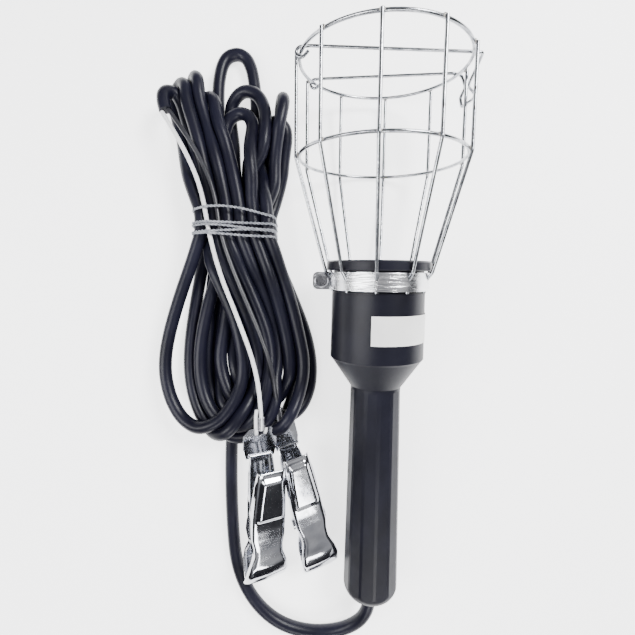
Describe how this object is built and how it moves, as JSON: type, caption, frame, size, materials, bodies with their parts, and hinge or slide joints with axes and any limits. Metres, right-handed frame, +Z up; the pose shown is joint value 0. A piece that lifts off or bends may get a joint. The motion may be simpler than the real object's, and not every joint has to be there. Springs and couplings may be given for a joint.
{
  "type": "work light",
  "caption": "Hand-held caged work light with screw lampholder, hinged guard gate, straight handle and a tied battery lead ending in two spring clips.",
  "frame": {"origin": "bottom centre of the lamp's box, without the free cord and its clips, as it lies on its side on the ground", "axes": "+Y from the handle's end toward the guard's open end, level; +Z up from the ground; the lamp axis rises 7.04 degrees toward +Y"},
  "size_m": [0.1958, 0.4049, 0.107],
  "materials": {
    "guard_wire": "bright zinc-plated steel wire, semi-bright",
    "band_steel": "brushed nickel-plated steel strip",
    "fastener": "bright zinc-plated steel",
    "clip_steel": "bright nickel-plated pressed steel",
    "spring_steel": "oiled spring steel",
    "black_moulding": "black moulded plastic with a soft sheen",
    "label_white": "blank white sticker",
    "porcelain": "white lampholder insulator",
    "brass": "plain brass",
    "grip_fibre": "brown insulating clamp bar",
    "cord_black": "black soft cord jacket",
    "core_white": "white core insulation",
    "core_black": "black core insulation",
    "tie_wire": "grey plastic-coated tie wire"
  },
  "bodies": {
    "lamp": {"top_ring": "guard_wire", "middle_ring": "guard_wire", "guard_wires": "guard_wire", "clamp_band": "band_steel", "clamp_screw": "fastener", "clamp_nut": "fastener", "head": "black_moulding", "head_label": "label_white", "lampholder_body": "porcelain", "screw_shell": "brass", "centre_contact": "brass", "terminal_screws": "brass", "holder_screws": "fastener", "handle": "black_moulding", "cord_grip": "grip_fibre", "grip_screws": "fastener", "inner_cord": "cord_black", "inner_leads": "core_black", "cord_lead": "cord_black", "cord_hank": "cord_black", "hank_tie": "tie_wire", "white_core": "core_white", "black_core": "core_black", "clip_1_lower": "clip_steel", "clip_1_pin": "clip_steel", "clip_1_spring": "spring_steel", "clip_2_lower": "clip_steel", "clip_2_pin": "clip_steel", "clip_2_spring": "spring_steel"},
    "gate": {"gate": "guard_wire"},
    "clip_1_upper": {"clip_1_upper": "clip_steel"},
    "clip_2_upper": {"clip_2_upper": "clip_steel"}
  },
  "joints": [
    {"name": "gate_hinge", "type": "hinge", "parent": "lamp", "child": "gate", "pos_m": [-0.04905, 0.16001, 0.06641], "axis": [-0.2122, -0.1198, 0.9699], "range_deg": [0, 130]},
    {"name": "clip_1_jaw", "type": "hinge", "parent": "lamp", "child": "clip_1_upper", "pos_m": [-0.07103, -0.12391, 0.01877], "axis": [-0.9082, -0.0598, 0.4143], "range_deg": [0, 22], "stiffness_Nm_per_rad": 0.5, "springref_deg": -28.65, "deforming": ["clip_1_spring"]},
    {"name": "clip_2_jaw", "type": "hinge", "parent": "lamp", "child": "clip_2_upper", "pos_m": [-0.04253, -0.11741, 0.01637], "axis": [-0.9286, -0.2682, 0.2564], "range_deg": [0, 22], "stiffness_Nm_per_rad": 0.5, "springref_deg": -28.65, "deforming": ["clip_2_spring"]}
  ]
}
